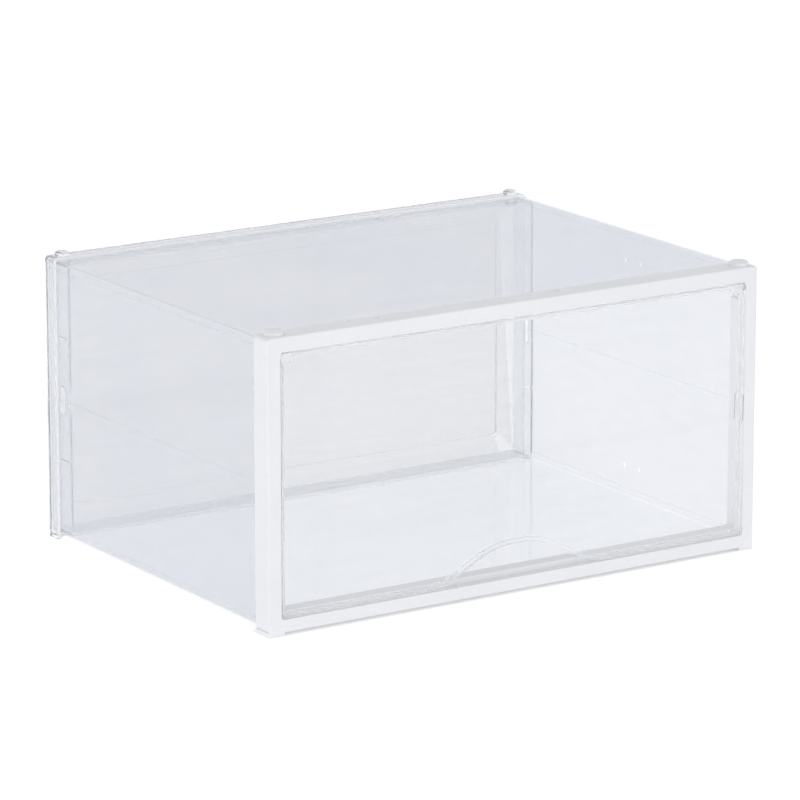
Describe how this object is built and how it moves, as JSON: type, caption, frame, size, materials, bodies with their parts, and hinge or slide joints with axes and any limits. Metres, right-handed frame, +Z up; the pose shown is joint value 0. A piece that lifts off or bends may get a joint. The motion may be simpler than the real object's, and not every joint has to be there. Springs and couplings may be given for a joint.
{
  "type": "shoe box",
  "caption": "Stackable front-opening shoe box: white frame, clear flip-up door with a finger arch, hazy folding sleeve and clear back cover.",
  "frame": {"origin": "on the ground under the middle of the box", "axes": "+X to the right seen from the front, +Y from the door to the back cover, +Z up"},
  "size_m": [0.343, 0.255, 0.1776],
  "materials": {
    "white_frame": "satin",
    "clear_door": "polished, clear",
    "hazy_sheet": "smooth, slightly hazy",
    "clear_cover": "smooth, slightly milky"
  },
  "bodies": {
    "box": {"front_frame": "white_frame", "top_leaf": "hazy_sheet", "bottom_leaf": "hazy_sheet", "left_upper_leaf": "hazy_sheet", "left_lower_leaf": "hazy_sheet", "right_upper_leaf": "hazy_sheet", "right_lower_leaf": "hazy_sheet", "back_cover": "clear_cover"},
    "door": {"door": "clear_door"}
  },
  "joints": [
    {"name": "door_hinge", "type": "hinge", "parent": "box", "child": "door", "pos_m": [0, -0.1248, 0.1624], "axis": [-1, 0, 0], "range_deg": [0, 100]}
  ]
}
